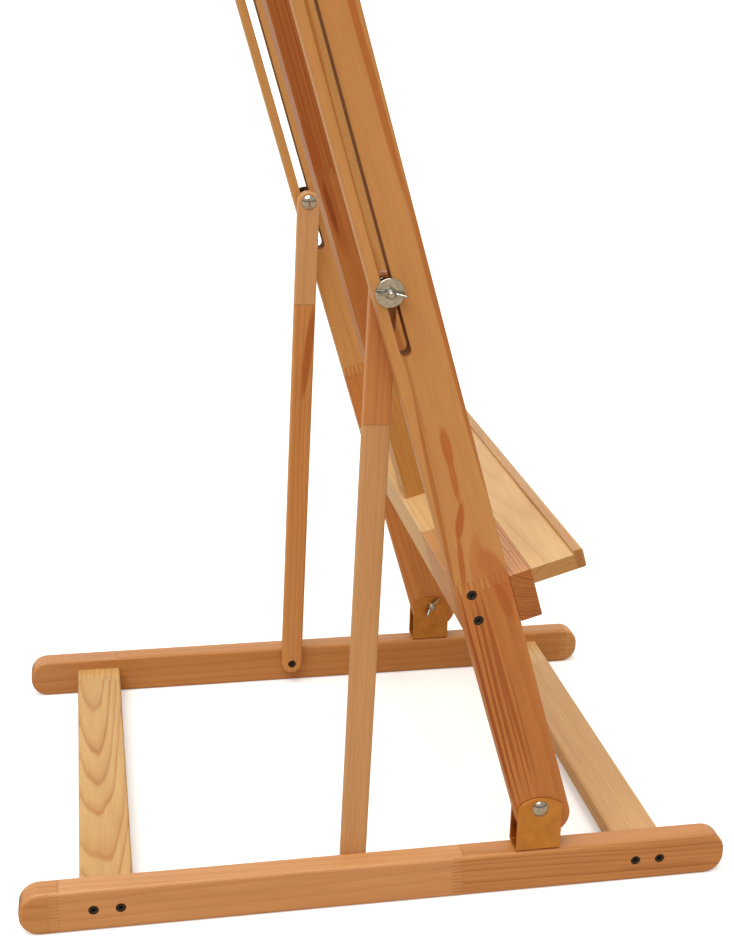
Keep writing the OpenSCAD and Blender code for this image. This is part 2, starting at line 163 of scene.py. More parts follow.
fill = node(sky, "ShaderNodeBackground", {"Color": around, "Strength": 1.0})
both = node(sky, "ShaderNodeMixShader", {0: ray.outputs["Is Camera Ray"], 1: fill.outputs[0], 2: seen.outputs[0]})
node(sky, "ShaderNodeOutputWorld", {0: both.outputs[0]})
bpy.context.scene.view_settings.view_transform = "Standard"


# ---------------------------------------------------------------- floor runners
# Two planed pine laths, finger-jointed from shorter lengths and lying on their narrow edge. All the
# long edges are rounded over with a router bit, the ends are cut to a big radius, and clear satin
# varnish covers the whole. Screws are let in flush from outside.

MM = 0.001
X_AXIS, Y_AXIS, Z_AXIS = np.eye(3)
GROUND = np.zeros(3)
SIDES = (("left", -1), ("right", 1))


def outline(corners, radii, steps=6):
    """Rounds the corners of a counterclockwise polygon. Each corner is an arc between the normals of
    its two edges, about a centre one radius in from both. Returns the points and outward normals."""
    corners = np.asarray(corners, float)
    radii = np.broadcast_to(np.asarray(radii, float), len(corners))[:, None]
    edges = np.roll(corners, -1, 0) - corners
    edges /= np.linalg.norm(edges, axis=1)[:, None]
    after = np.column_stack([edges[:, 1], -edges[:, 0]])
    before = np.roll(after, 1, 0)
    level = (before * after).sum(1)
    turned = np.arctan2(before[:, 0] * after[:, 1] - before[:, 1] * after[:, 0], level)
    side = np.sign(turned)[:, None]
    centres = corners - side * radii * (before + after) / (1 + level)[:, None]
    angles = np.arctan2(before[:, 1], before[:, 0])[:, None] + turned[:, None] * np.linspace(0, 1, steps + 1)
    normals = np.stack([np.cos(angles), np.sin(angles)], -1)
    points = centres[:, None] + (side * radii)[:, None] * normals
    return points.reshape(-1, 2), normals.reshape(-1, 2)


def rectangle(low, high, radii, steps=6):
    """The outline of an upright rectangle from its low to its high corner."""
    (a, b), (c, d) = low, high
    return outline([(a, b), (c, b), (c, d), (a, d)], radii, steps)


def rounded_over(low, high, radius, steps=5):
    """Heights and insets of the rings of a board whose edges are quarter circles at both faces."""
    swing = np.linspace(0, math.pi / 2, steps + 1)
    depth, inset = radius * (1 - np.cos(swing)), radius * (1 - np.sin(swing))
    return np.concatenate([low + depth, high - depth[::-1]]), np.concatenate([inset, inset[::-1]])


def tube(name, rings, capped=True):
    """A mesh over rings of points, with quads between neighbours and a face over each end. With no
    caps, the last ring is joined to the first. Point k of every ring is in line with point k of the
    next, and the rings run counterclockwise as seen from where they are going."""
    count, around = rings.shape[:2]
    here = np.arange(around)
    start = np.arange(count - 1 if capped else count)[:, None] * around
    ahead_start = (start + around) % (count * around)
    beside = (here + 1) % around
    quads = np.stack([start + here, start + beside, ahead_start + beside, ahead_start + here], -1)
    faces = quads.reshape(-1, 4).tolist()
    if capped:
        faces += [here[::-1].tolist(), (here + (count - 1) * around).tolist()]
    mesh = bpy.data.meshes.new(name)
    mesh.from_pydata(rings.reshape(-1, 3).tolist(), [], faces)
    mesh.validate()
    return link("MESH", name, mesh)


def prism(name, shape, levels, insets, origin, axes):
    """Carries an outline along its third axis: ring k is the outline drawn in by insets[k] at height
    levels[k]. The three axes are right-handed unit vectors from the origin."""
    points, normals = shape
    flat = points[None] - normals[None] * np.asarray(insets)[:, None, None]
    heights = np.broadcast_to(np.asarray(levels)[:, None, None], flat.shape[:2] + (1,))
    return tube(name, np.concatenate([flat, heights], -1) @ np.array(axes) + origin)


def vertices_of(cad_node):
    """The places of a CAD node's vertices."""
    vertices = frame["nodes"][cad_node].data.vertices
    places = np.empty(len(vertices) * 3)
    vertices.foreach_get("co", places)
    return places.reshape(-1, 3)


def corners_of(cad_node, origin=GROUND, axes=(X_AXIS, Y_AXIS, Z_AXIS), side=0):
    """The lowest and highest corner of a CAD node along any axes. With a side of -1 or 1, only what
    lies on that side of the easel counts."""
    places = vertices_of(cad_node)
    if side:
        places = places[places[:, 0] * side > 0]
    local = (places - origin) @ np.array(axes).T
    return local.min(0), local.max(0)


# walls of slots and screw seats: bare wood under a thin coat of varnish, coloured a darker brown that is painted shade
# inside these recesses
cut_wall_painted_shade, cut_wall_shade_tree, cut_wall_shade_shader = surface("routed_wall_painted_shade")
plug(cut_wall_shade_tree, cut_wall_shade_shader, {"Base Color": linear("#9c6636"), "Roughness": 0.75, "Specular IOR Level": 0.2})
board_face = bpy.data.materials.new("board_face")


def carve(piece, tools):
    """Cuts the tools' solids out of a piece for good, and throws the tools away. Faces that a tool leaves get the
    darker cut-wall colour, painted shade in the cut, and the others wait for the board's own wood."""
    piece.data.materials.append(board_face)
    for tool in tools:
        tool.data.materials.append(cut_wall_painted_shade)
        cut = piece.modifiers.new("cut", "BOOLEAN")
        cut.object = tool
        cut.solver = "EXACT"
        cut.material_mode = "TRANSFER"
    bpy.context.view_layer.update()
    whole = piece.evaluated_get(bpy.context.evaluated_depsgraph_get())
    carved = bpy.data.meshes.new_from_object(whole)
    piece.modifiers.clear()
    piece.data = carved
    for tool in tools:
        bpy.data.objects.remove(tool)


def complete(piece, material, body, slot, *nodes, crease=35):
    """Gives a finished piece its material, smooth rounded edges with flat faces, its body and the CAD nodes that it
    stands for. The slot is not used."""
    if piece.data.materials:
        piece.data.materials[0] = material
    else:
        piece.data.materials.append(material)
    piece.data.shade_smooth()
    piece.data.set_sharp_from_angle(angle=math.radians(crease))
    even = piece.modifiers.new("even", "WEIGHTED_NORMAL")
    even.keep_sharp = True
    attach(piece, body)
    if nodes:
        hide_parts(*nodes)


screw_head = 9.5 * MM
screw_shank = 5.0 * MM
screw_sunk = 0.5 * MM
socket_width = 4.0 * MM


def spokes(aim, around, spin=0.0):
    """A direction made a unit vector, angles evenly round it, and the unit vectors at those angles."""
    aim = np.asarray(aim, float) / np.linalg.norm(aim)
    start = np.cross(aim, Z_AXIS if abs(aim[2]) < 0.9 else X_AXIS)
    start /= np.linalg.norm(start)
    swing = np.linspace(0, 2 * math.pi, around, endpoint=False)
    return aim, swing, np.cos(swing + spin)[:, None] * start + np.sin(swing + spin)[:, None] * np.cross(aim, start)


def round_hole(place, aim, profile, around=32):
    """A round cutter along aim from a place on the surface. The profile lists radius and depth."""
    radii, depths = np.array(profile).T
    aim, _, rim = spokes(aim, around)
    return tube("cutter", place + depths[:, None, None] * aim + radii[:, None, None] * rim[None])


def screw_seat(place, aim):
    """The cutter for a countersunk screw: a short straight mouth and a 90 degree cone."""
    mouth = screw_head / 2 + 0.25 * MM
    foot = screw_shank / 2
    cone = mouth - foot
    return round_hole(place, aim, [(mouth, -2 * MM), (mouth, screw_sunk), (foot, screw_sunk + cone),
                                   (foot, screw_sunk + cone + 6 * MM)])


def pine(name, grain, face, origin, parts, seed, marks=(), finger=(10, 4), end_grain_and_painted_light_tint="#b08a66"):
    """Varnished pine, cut from a log in the shader. Growth rings are distances from the log's own
    axis, the pith, bent a little by slow noise: each ring darkens slowly outwards to its latewood and
    then drops back at once. grain is the direction of the fibres and face the one over the board's
    width, both from the origin. parts lists the lengths that are finger-jointed into the board, each
    with its start along the grain, its early and late wood, ring width in mm, the pith's place (over
    the width, through the board) in mm, its lean in mm per metre, and how strongly rings show. marks
    lists soft streaks: centre (along, across) and half sizes in mm, turn in degrees, colour, strength."""
    material, tree, shader = surface(name)
    along = Vector(grain).normalized()
    across = Vector(face).normalized()
    board = Matrix((along, across, along.cross(across)))
    coordinates = node(tree, "ShaderNodeTexCoord")
    place = node(tree, "ShaderNodeMapping", {
        "Vector": coordinates.outputs["Object"], "Rotation": board.to_euler(),
        "Location": -(board @ Vector(origin))}).outputs[0]
    split = node(tree, "ShaderNodeSeparateXYZ", {0: place})
    x, y = split.outputs[0], split.outputs[1]

    def facts(part):
        return [[part["pith"][0] * MM, part["pith"][1] * MM, 1 / (part["ring"] * MM)],
                [part["lean"][0] * MM, part["lean"][1] * MM, part["show"]],
                linear(part["early"]), linear(part["late"])]

    # finger joints: the boundary between two lengths runs in a blunt zigzag over the width
    finger_length, finger_pitch = finger[0] * MM, finger[1] * MM
    rings, tilt, early, late = facts(parts[0])
    glue = 0.0
    piece_number = float(seed)
    for part in parts[1:]:
        saw = calc(tree, "PINGPONG", y, finger_pitch / 2)
        blunt = ranged(tree, saw, finger_pitch * 0.16, finger_pitch * 0.34,
                       part["start"] - finger_length / 2, part["start"] + finger_length / 2)
        past = calc(tree, "GREATER_THAN", x, blunt)
        glue = calc(tree, "MAXIMUM", glue, calc(tree, "COMPARE", x, blunt, 0.9 * MM))
        new_rings, new_tilt, new_early, new_late = facts(part)
        rings = node(tree, "ShaderNodeMix", {0: past, 4: rings, 5: new_rings}, data_type="VECTOR").outputs[1]
        tilt = node(tree, "ShaderNodeMix", {0: past, 4: tilt, 5: new_tilt}, data_type="VECTOR").outputs[1]
        early = blend(tree, past, early, new_early)
        late = blend(tree, past, late, new_late)
        piece_number = calc(tree, "MULTIPLY_ADD", past, 5.7, piece_number)

    def clouds(size, detail=2.0, rough=0.5):
        """Noise in clouds of that size in mm along, across and through the board."""
        shrunk = vector_calc(tree, "MULTIPLY", place, [1 / (s * MM) for s in size])
        return node(tree, "ShaderNodeTexNoise", {
            "Vector": shrunk, "W": piece_number, "Scale": 1.0, "Detail": detail,
            "Roughness": rough}, noise_dimensions="4D")

    # the slow bend of the rings, and the distance from the pith
    bend = vector_calc(tree, "SUBTRACT", clouds((260, 30, 30)).outputs["Color"], (0.5, 0.5, 0.5))
    bent = vector_calc(tree, "MULTIPLY_ADD", bend, [9 * MM] * 3, place)
    ring_facts = node(tree, "ShaderNodeSeparateXYZ", {0: rings})
    tilt_facts = node(tree, "ShaderNodeSeparateXYZ", {0: tilt})
    pith = node(tree, "ShaderNodeCombineXYZ", {1: ring_facts.outputs[0], 2: ring_facts.outputs[1]})
    slope = node(tree, "ShaderNodeCombineXYZ", {1: tilt_facts.outputs[0], 2: tilt_facts.outputs[1]})
    lean = node(tree, "ShaderNodeVectorMath", {0: slope.outputs[0], "Scale": x}, operation="SCALE")
    axis = vector_calc(tree, "ADD", pith.outputs[0], lean.outputs[0])
    out = vector_calc(tree, "MULTIPLY", vector_calc(tree, "SUBTRACT", bent, axis), (0, 1, 1))
    radius = node(tree, "ShaderNodeVectorMath", {0: out}, operation="LENGTH").outputs["Value"]

    # from the distance to the year, and from the season to the latewood
    age = calc(tree, "MULTIPLY", radius, ring_facts.outputs[2])
    drift = node(tree, "ShaderNodeTexNoise", {"W": age, "Scale": 0.37, "Detail": 1.0}, noise_dimensions="1D")
    age = calc(tree, "MULTIPLY_ADD", drift.outputs[0], 1.6, age)
    latewood = node(tree, "ShaderNodeValToRGB", {0: calc(tree, "FRACT", age)})
    ramp = latewood.color_ramp
    ramp.interpolation = "EASE"
    ramp.elements[0].position, ramp.elements[0].color = 0.0, (0.10, 0.10, 0.10, 1)
    ramp.elements[1].position, ramp.elements[1].color = 1.0, (0.10, 0.10, 0.10, 1)
    for position, level in ((0.10, 0.0), (0.45, 0.07), (0.72, 0.45), (0.86, 1.0), (0.93, 0.8)):
        ramp.elements.new(position).color = (level, level, level, 1)
    vigour = node(tree, "ShaderNodeTexWhiteNoise", {"W": calc(tree, "FLOOR", age)}, noise_dimensions="1D")
    vigour = ranged(tree, vigour.outputs[0], 0.0, 1.0, 0.45, 1.0)
    patchy = ranged(tree, clouds((220, 25, 25)).outputs[0], 0.3, 0.7, 0.55, 1.0)
    shown = latewood.outputs[0]
    for share in (vigour, patchy, tilt_facts.outputs[2]):
        shown = calc(tree, "MULTIPLY", shown, share)
    colour = blend(tree, shown, early, late)

    # slow clouds of a warmer tone, from resin and sapwood
    warmth = ranged(tree, clouds((170, 16, 16), 3.0).outputs[0], 0.35, 0.75, 0.0, 0.30)
    colour = blend(tree, warmth, colour, late)

    # streaks of resin and heartwood: ellipses with soft ends, bent as the rings are
    for (mark_along, mark_across), (half_long, half_wide), degrees, tint, strength in marks:
        own = node(tree, "ShaderNodeMapping", {
            "Vector": bent, "Location": (mark_along * MM, mark_across * MM, 0),
            "Rotation": (0, 0, math.radians(degrees)),
            "Scale": (half_long * MM, half_wide * MM, 1.0)}, vector_type="TEXTURE")
        reach = node(tree, "ShaderNodeVectorMath", {0: own.outputs[0]}, operation="LENGTH").outputs["Value"]
        soft = ranged(tree, reach, 1.0, 0.6, 0.0, strength, interpolation_type="SMOOTHSTEP")
        colour = blend(tree, soft, colour, linear(tint))

    # fibres, drawn about three times as coarse as they are so that they show, and resin canals
    fibre = clouds((38, 0.9, 0.9), 3.0, 0.6).outputs[0]
    colour = blend(tree, 1.0, colour, ranged(tree, fibre, 0.25, 0.75, 0.90, 1.08), blend_type="MULTIPLY")
    canal = ranged(tree, clouds((14, 0.8, 0.8), 1.0).outputs[0], 0.68, 0.76, 0.0, 0.35)
    colour = blend(tree, canal, colour, late)
    if len(parts) > 1:
        colour = blend(tree, calc(tree, "MULTIPLY", glue, 0.30), colour, linear("#8a5a2e"))

    # cut ends drink varnish and go darker; the braces' paler end tint is painted light on their ends, lit from above
    facing_end = node(tree, "ShaderNodeVectorMath", {0: coordinates.outputs["Normal"], 1: along},
                      operation="DOT_PRODUCT").outputs["Value"]
    end_share = ranged(tree, calc(tree, "ABSOLUTE", facing_end), 0.70, 0.97, interpolation_type="SMOOTHSTEP")
    colour = blend(tree, end_share, colour, linear(end_grain_and_painted_light_tint), blend_type="MULTIPLY")

    # satin varnish that follows the fibres
    relief = calc(tree, "MULTIPLY_ADD", shown, 0.8, fibre)
    bump = node(tree, "ShaderNodeBump", {"Height": relief, "Strength": 0.25, "Distance": 0.12 * MM})
    plug(tree, shader, {"Base Color": colour, "Normal": bump.outputs[0], "IOR": 1.45, "Specular IOR Level": 0.4,
                        "Roughness": ranged(tree, fibre, 0.3, 0.7, 0.32, 0.44),
                        "Coat Weight": 0.2, "Coat Roughness": 0.25})
    return material


runner_edge = 4.0 * MM
runner_end = 20.0 * MM
runner_parts = {
    "left": ([dict(start=0, early="#d08e54", late="#9c5a28", ring=6.2, pith=(110, 10), lean=(14, 0), show=0.85),
              dict(start=-0.072, early="#d99c66", late="#b5713d", ring=8, pith=(40, -60), lean=(8, 30), show=0.35),
              dict(start=0.318, early="#d2945a", late="#a8622d", ring=6, pith=(30, 70), lean=(10, 20), show=0.55)],
             [((-290, -8), (60, 5), 1, "#a5612c", 0.35)]),
    "right": ([dict(start=0, early="#dba066", late="#a9672f", ring=5, pith=(60, 20), lean=(6, 10), show=0.7),
               dict(start=-0.330, early="#cf8e50", late="#a5602c", ring=9, pith=(50, -50), lean=(6, 20), show=0.4),
               dict(start=0.25, early="#cf9058", late="#a4602e", ring=7, pith=(10, -60), lean=(6, 20), show=0.6)],
              []),
}

cross_boxes = {end: corners_of(end + "_cross_member") for end in ("front", "rear")}
screw_step = 51.0 / 4 * MM


def cross_screw_places(side):
    """The four countersunk screws on one runner's outer face."""
    face = corners_of("left_runner" if side < 0 else "right_runner")[0 if side < 0 else 1][0]
    spots = []
    for low, high in cross_boxes.values():
        middle = (low + high) / 2
        for step in (-1, 1):
            spots.append(np.array([face, middle[1] + step * screw_step, middle[2]]))
    return spots


for name, side in SIDES:
    low, high = corners_of(name + "_runner")
    runner = prism(name + "_runner_board", rectangle(low[1:], high[1:], runner_end, 10),
                   *rounded_over(low[0], high[0], runner_edge), GROUND, (Y_AXIS, Z_AXIS, X_AXIS))
    carve(runner, [screw_seat(place, -side * X_AXIS) for place in cross_screw_places(side)])
    parts, marks = runner_parts[name]
    middle = (low + high) / 2
    wood = pine(name + "_runner_varnished_pine", Y_AXIS, Z_AXIS, middle, parts, 3 + side, marks, finger=(10, 3.75))
    complete(runner, wood, "base", "pine", name + "_runner")


# ---------------------------------------------------------------- cross members
# Two flat pine slats between the runners. They are cut square, butt against the runners' inner faces
# and are held by the screws from outside. The rear one is flat-sawn with arched figure.

slat_edge = 3.0 * MM
cross_parts = {
    "front": [dict(start=0, early="#d6a56c", late="#b3773c", ring=4.5, pith=(-60, 25), lean=(4, 6), show=0.5),
              dict(start=0.17, early="#e2b980", late="#c08444", ring=6, pith=(14, 24), lean=(4, 50), show=0.7)],
    "rear": [dict(start=0, early="#d3a869", late="#b06c2a", ring=5, pith=(8, -24), lean=(10, 66), show=1.0),
             dict(start=0.20, early="#d9ab70", late="#b57c3e", ring=6, pith=(-40, 26), lean=(6, 8), show=0.6)],
}
for end, (low, high) in cross_boxes.items():
    slat = prism(end + "_cross_slat", rectangle(low[1:], high[1:], slat_edge),
                 *rounded_over(low[0], high[0], 0.2 * MM, 1), GROUND, (Y_AXIS, Z_AXIS, X_AXIS))
    wood = pine(end + "_cross_varnished_pine", X_AXIS, Y_AXIS, (low + high) / 2, cross_parts[end], 11 + len(end))
    complete(slat, wood, "base", "pine", end + "_cross_member")



# ---------------------------------------------------------------- joint screws
# Countersunk steel screws with a hexagon socket, black oxide finish, driven just under the surface.

def wheel(profile, place, aim, around=48, closed=False, spin=0.0, name="turned"):
    """A turned solid along aim. The profile lists radius, height and sides: with 0 sides the ring is a
    circle, and with n it is a polygon with n flats that far from the axis. A closed profile goes round
    a hole."""
    aim, swing, rim = spokes(aim, around, spin)
    rings = []
    for radius, height, sides in profile:
        reach = np.full(around, float(radius))
        if sides:
            step = 2 * math.pi / sides
            reach = radius / np.cos((swing + step / 2) % step - step / 2)
        rings.append(place + height * aim + reach[:, None] * rim)
    return tube(name, np.array(rings), capped=not closed)


def thread(place, aim, length, diameter, pitch, around=20, per_turn=6, name="thread"):
    """A screw thread along aim: the radius falls and rises once a pitch, and lags by one pitch a turn."""
    aim, swing, rim = spokes(aim, around)
    heights = np.linspace(0, length, max(3, round(length / pitch * per_turn)))
    phase = heights[:, None] / pitch - swing[None] / (2 * math.pi)
    depth = 0.55 * pitch * np.abs(2 * (phase % 1) - 1)
    tip = np.clip((length - heights) / (1.2 * pitch), 0.72, 1)[:, None]
    reach = (diameter / 2 - depth) * tip
    return tube(name, place + heights[:, None, None] * aim + reach[..., None] * rim[None])


def join(name, pieces):
    """Makes one object of several, by their meshes."""
    points, faces, start = [], [], 0
    for piece in pieces:
        points += [tuple(v.co) for v in piece.data.vertices]
        faces += [[start + v for v in face.vertices] for face in piece.data.polygons]
        start = len(points)
        bpy.data.objects.remove(piece)
    mesh = bpy.data.meshes.new(name)
    mesh.from_pydata(points, [], faces)
    return link("MESH", name, mesh)


def metal(name, base, dark, low_rough, high_rough, blotch, brushed=None, metallic=1.0):
    """Plated or blackened steel: roughness wanders between two values in clouds a few mm wide, with
    fine lines where it was brushed or rolled, and the colour darkens a little in the clouds."""
    material, tree, shader = surface(name)
    coordinates = node(tree, "ShaderNodeTexCoord").outputs["Object"]
    clouds = node(tree, "ShaderNodeTexNoise", {"Vector": coordinates, "Scale": 1 / (blotch * MM), "Detail": 4.0})
    height = clouds.outputs[0]
    spread = ranged(tree, height, 0.3, 0.7, low_rough, high_rough)
    tone = ranged(tree, height, 0.3, 0.75, 0.0, 0.6)
    if brushed:
        drawn = vector_calc(tree, "MULTIPLY", coordinates, [1 / (s * MM) for s in brushed])
        height = node(tree, "ShaderNodeTexNoise", {"Vector": drawn, "Scale": 1.0, "Detail": 3.0}).outputs[0]
    bump = node(tree, "ShaderNodeBump", {"Height": height, "Strength": 0.3, "Distance": 0.05 * MM})
    plug(tree, shader, {"Base Color": blend(tree, tone, linear(base), linear(dark)), "Roughness": spread,
                        "Normal": bump.outputs[0], "Metallic": metallic})
    return material


black_oxide = metal("black_oxide_steel", "#3b3632", "#23201d", 0.32, 0.5, 3, metallic=0.7)


def joint_screw(place, aim, length):
    """A countersunk screw whose head lies at a place on the wood, with its point along aim."""
    seat = place + screw_sunk * np.asarray(aim)
    cone = (screw_head - screw_shank) / 2
    flat = socket_width / 2
    depth = cone + 0.6 * MM
    rim = screw_head / 2
    head = wheel([(flat * 0.4, depth * 0.96, 6), (flat, depth * 0.9, 6), (flat, 0.3 * MM, 6), (flat + 0.3 * MM, 0.0, 6),
                  (rim - 0.25 * MM, 0.0, 0), (rim, 0.2 * MM, 0), (rim, 0.35 * MM, 0),
                  (screw_shank / 2, cone + 0.3 * MM, 0), (screw_shank / 2 * 0.9, cone + 3 * MM, 0)],
                 seat, aim)
    shank = thread(seat + (cone + 1 * MM) * np.asarray(aim), aim, length - cone - 1 * MM, screw_shank, 2.2 * MM)
    return [head, shank]


def complete_set(label, pieces, material, body, slot, cad_node):
    """Completes a set of small parts as one piece."""
    complete(join(label, pieces), material, body, slot, cad_node, crease=40)


screws = []
for side in (-1, 1):
    for place in cross_screw_places(side):
        screws += joint_screw(place, -side * X_AXIS, 49 * MM)
complete_set("cross_screw_set", screws, black_oxide, "base", "black_oxide", "cross_member_screws")


# ---------------------------------------------------------------- pivot brackets
# Strips of steel sheet with a rounded top, bent into a U and yellow-passivated, which leaves brassy
# clouds. Each stands on its runner, held by two screws, and takes one upright between its ears.

sheet_thick = 1.8 * MM
bend_radius = 3.0 * MM
ear_radius = 34.0 * MM
yellow_zinc = metal("yellow_passivated_sheet", "#dc9c54", "#bc7f3c", 0.34, 0.50, 14, brushed=(2.5, 2.5, 0.12))


def bent_strip(name, low, high):
    """A U of sheet drawn on a grid: one parameter runs down an ear, round a bend, over the base and up
    the other ear, and the other runs over the width. Every column of an ear is stretched so that its
    end lies on the arc over the top."""
    wide = np.linspace(low[1], high[1], 25)
    middle = (low[1] + high[1]) / 2
    tops = high[2] - ear_radius + np.sqrt(ear_radius ** 2 - (wide - middle) ** 2)
    foot = low[2] + bend_radius
    shares = np.linspace(1, 0, 9)[:, None]
    ear = foot + shares * (tops - foot)
    swing = np.linspace(0, math.pi / 2, 7)[1:, None]
    bend_in = bend_radius * (1 - np.cos(swing)) + 0 * wide
    bend_down = foot - bend_radius * np.sin(swing) + 0 * wide
    left_x = low[0] + np.concatenate([0 * ear, bend_in])
    heights = np.concatenate([ear, bend_down])
    right_x = low[0] + high[0] - left_x[::-1]
    xs, zs = np.concatenate([left_x, right_x]), np.concatenate([heights, heights[::-1]])
    points = np.stack([xs, np.broadcast_to(wide, xs.shape), zs], -1)
    rows, columns = xs.shape
    corner = (np.arange(rows - 1)[:, None] * columns + np.arange(columns - 1)).reshape(-1)
    faces = np.stack([corner, corner + 1, corner + columns + 1, corner + columns], -1).tolist()
    mesh = bpy.data.meshes.new(name)
    mesh.from_pydata(points.reshape(-1, 3).tolist(), [], faces)
    return link("MESH", name, mesh)


joints = {joint["name"]: joint for joint in frame["joints"]}
pivot = np.array(joints["frame_tilt"]["pos_m"])
frame_up = np.array(joints["holder_slide"]["axis"])
frame_up /= np.linalg.norm(frame_up)
frame_rear = np.cross(frame_up, X_AXIS)
FRAME = np.array([frame_rear, frame_up, X_AXIS])


def in_frame(rear, up, x):
    """A place from its distances to the pivot: to the rear, up the leaning frame, and along X."""
    return pivot + np.array([rear, up, x]) @ FRAME


def middle_of(low, high):
    """The middle of a box in the frame's axes, at the easel's middle."""
    return pivot + (low[0] + high[0]) / 2 * frame_rear + (low[1] + high[1]) / 2 * frame_up



bracket_screws = []
for name in ("left", "right"):
    low, high = corners_of(name + "_bracket")
    strip = bent_strip(name + "_bent_bracket", low, high)
    wall = strip.modifiers.new("sheet", "SOLIDIFY")
    wall.thickness, wall.offset = sheet_thick, -1
    edge = strip.modifiers.new("edge", "BEVEL")
    edge.width, edge.segments, edge.limit_method, edge.angle_limit = 0.35 * MM, 2, "ANGLE", math.radians(50)
    complete(strip, yellow_zinc, "base", "yellow_zinc", name + "_bracket", crease=60)
    middle = (low + high) / 2
    for step in (-1, 1):
        place = np.array([middle[0], middle[1] + step * (high[1] - low[1]) / 4, low[2] + sheet_thick + 0.7 * MM])
        bracket_screws += joint_screw(place, -Z_AXIS, 25 * MM)
complete_set("bracket_screw_set", bracket_screws, black_oxide, "base", "black_oxide", "bracket_screws")


# ---------------------------------------------------------------- pivot bolts and wing nuts
# M6 carriage bolts: a domed head, a square neck that stops the bolt turning, and a rolled thread. The
# heads sit on the outer ears, and forged wing nuts pull the inner ears up. All are bright zinc.

bolt = 6.0 * MM
dome_wide = 16.5 * MM
dome_tall = 3.8 * MM
bright_zinc = metal("bright_zinc_plated_steel", "#c9c7c0", "#8f8b80", 0.10, 0.26, 4)


def carriage_bolt(seat, aim, length, threaded=14 * MM):
    """A carriage bolt whose head lies on a seat, with its shank along aim. The dome is a part of a
    sphere, over a thin rim."""
    half = dome_wide / 2
    sphere = (half ** 2 + dome_tall ** 2) / (2 * dome_tall)
    share = np.sin(np.linspace(0.002, math.pi / 2, 14))
    radii = share * (half - 0.15 * MM)
    tops = (sphere - dome_tall) - np.sqrt(sphere ** 2 - radii ** 2)
    profile = [(r, t, 0) for r, t in zip(radii, tops)]
    profile += [(half, -0.35 * MM, 0), (half - 0.1 * MM, -0.05 * MM, 0), (half - 0.4 * MM, 0, 0),
                (bolt / 2, 0, 4), (bolt / 2, 3 * MM, 4), (bolt / 2 * 0.94, 3.6 * MM, 0),
                (bolt / 2 * 0.94, length - threaded, 0), (bolt / 2 * 0.85, length - threaded + 0.3 * MM, 0)]
    body = wheel(profile, np.asarray(seat), aim, spin=0.4)
    screw = thread(np.asarray(seat) + (length - threaded) * np.asarray(aim), aim, threaded, bolt, 1.0 * MM,
                   around=32, per_turn=8)
    return [body, screw]


def wing_nut(seat, aim, wings, span=30 * MM, hub=10.5 * MM, tall=6 * MM):
    """A forged wing nut on a seat. The hub is turned round its bore. Each wing is a rounded bar whose
    section grows tall and thin away from the hub and closes in an ellipse at its tip, and it leans
    away from the seat."""
    bore = bolt / 2 + 0.05 * MM
    rounding = 0.5 * MM
    outer, top = hub / 2, hub * 0.41
    pieces = [wheel([(bore + rounding, 0, 0), (outer - rounding, 0, 0), (outer, rounding, 0), (top, tall - rounding, 0),
                     (top - rounding, tall, 0), (bore + rounding, tall, 0), (bore, tall - rounding, 0),
                     (bore, rounding, 0)], seat, aim, closed=True)]
    swing = np.linspace(0, 2 * math.pi, 24, endpoint=False)
    share = np.sin(np.linspace(0, math.pi / 2, 16))
    radial = 3.5 * MM + (span / 2 - 3.5 * MM) * share
    middle = (3.0 + 3.4 * share) * MM
    closing = np.sqrt(1 - share ** 5) + 0.01
    half_tall = (2.3 + 3.0 * share ** 1.5) * MM * closing
    half_thick = (1.9 - 0.6 * share) * MM * closing
    round_cos = np.sign(np.cos(swing)) * np.abs(np.cos(swing)) ** 0.8
    round_sin = np.sign(np.sin(swing)) * np.abs(np.sin(swing)) ** 0.8
    for way in (-1, 1):
        out = way * wings
        flat = np.cross(out, aim)
        rings = (seat + radial[:, None, None] * out
                 + (middle[:, None] + half_tall[:, None] * round_cos)[..., None] * aim
                 + (half_thick[:, None] * round_sin)[..., None] * flat)
        pieces.append(tube("wing", rings))
    return pieces


def wings_of(cad_node, aim):
    """The direction in which a CAD wing nut's wings point: where its vertices spread most."""
    places = vertices_of(cad_node)
    places = places - places.mean(0)
    places -= np.outer(places @ aim, aim)
    return np.linalg.svd(places, full_matrices=False)[2][0]


def place_wing_nut(name, aim, body):
    """A wing nut in the place of a CAD one, whose seat is the end against aim."""
    joint = np.array(joints[name.replace("_wing_nut", "_nut_turn")]["pos_m"])
    low = corners_of(name, joint, (np.cross(aim, X_AXIS + Z_AXIS), np.cross(aim, X_AXIS - Z_AXIS), aim))[0]
    nut = join(name + "_forged", wing_nut(joint + low[2] * aim, aim, wings_of(name, aim)))
    complete(nut, bright_zinc, body, "zinc", name)


pivot_set = []
for name, side in SIDES:
    low, high = corners_of(name + "_bracket")
    ends = corners_of("pivot_bolts", side=side)
    seat_x = low[0] if side < 0 else high[0]
    tip_x = ends[1][0] if side < 0 else ends[0][0]
    pivot_set += carriage_bolt(np.array([seat_x, pivot[1], pivot[2]]), -side * X_AXIS, abs(tip_x - seat_x))
    place_wing_nut(name + "_pivot_wing_nut", -side * X_AXIS, name + "_pivot_nut")
complete_set("pivot_bolt_set", pivot_set, bright_zinc, "base", "zinc", "pivot_bolts")


# ---------------------------------------------------------------- uprights
# Two slotted pine laths that lean between the brackets, finger-jointed a hand's width above the tray
# screws from a piece of red heartwood and a longer pale piece. The slot is routed right through.

upright_edge = 3.0 * MM
upright_foot = 22.0 * MM
upright_head = 8.0 * MM
slot_wide, slot_from_rear = 10.0 * MM, 14.5 * MM
slot_low, slot_high = 483.0 * MM, 862.0 * MM
slot_edge = 0.3 * MM
crossbar_boxes = {end: corners_of(end + "_crossbar", pivot, FRAME) for end in ("lower", "upper")}


